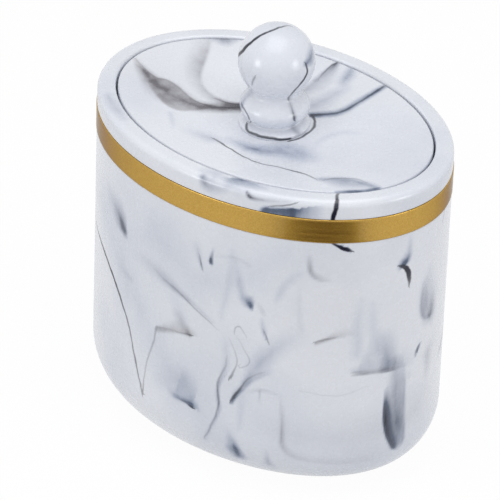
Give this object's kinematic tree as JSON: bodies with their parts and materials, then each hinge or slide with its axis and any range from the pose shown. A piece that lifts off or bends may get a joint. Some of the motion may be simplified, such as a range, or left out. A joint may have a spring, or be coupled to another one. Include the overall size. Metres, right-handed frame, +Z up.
{
  "type": "cotton swab box",
  "caption": "Oval marble-effect resin jar with a gold band under its rim and a drop-in lid with a ball knob, for cotton swabs on a vanity.",
  "frame": {"origin": "middle of the underside, on the surface that the box stands on", "axes": "+Z up, X along the long way of the oval, Y along the short way"},
  "size_m": [0.1002, 0.0728, 0.1171],
  "materials": {
    "marble_resin": "gloss",
    "gilt_metal": "satin",
    "brass": "satin",
    "zinc_steel": "satin",
    "foam_pad": "matte"
  },
  "bodies": {
    "jar": {"jar_body": "marble_resin", "gold_band": "gilt_metal", "base_pad": "foam_pad"},
    "lid": {"lid_plate": "marble_resin", "lid_knob": "marble_resin", "knob_insert": "brass", "knob_screw": "zinc_steel", "screw_washer": "zinc_steel"}
  },
  "joints": [
    {"name": "lid_lift", "type": "slide", "parent": "jar", "child": "lid", "axis": [0, 0, 1], "range_m": [0, 0.1]}
  ]
}
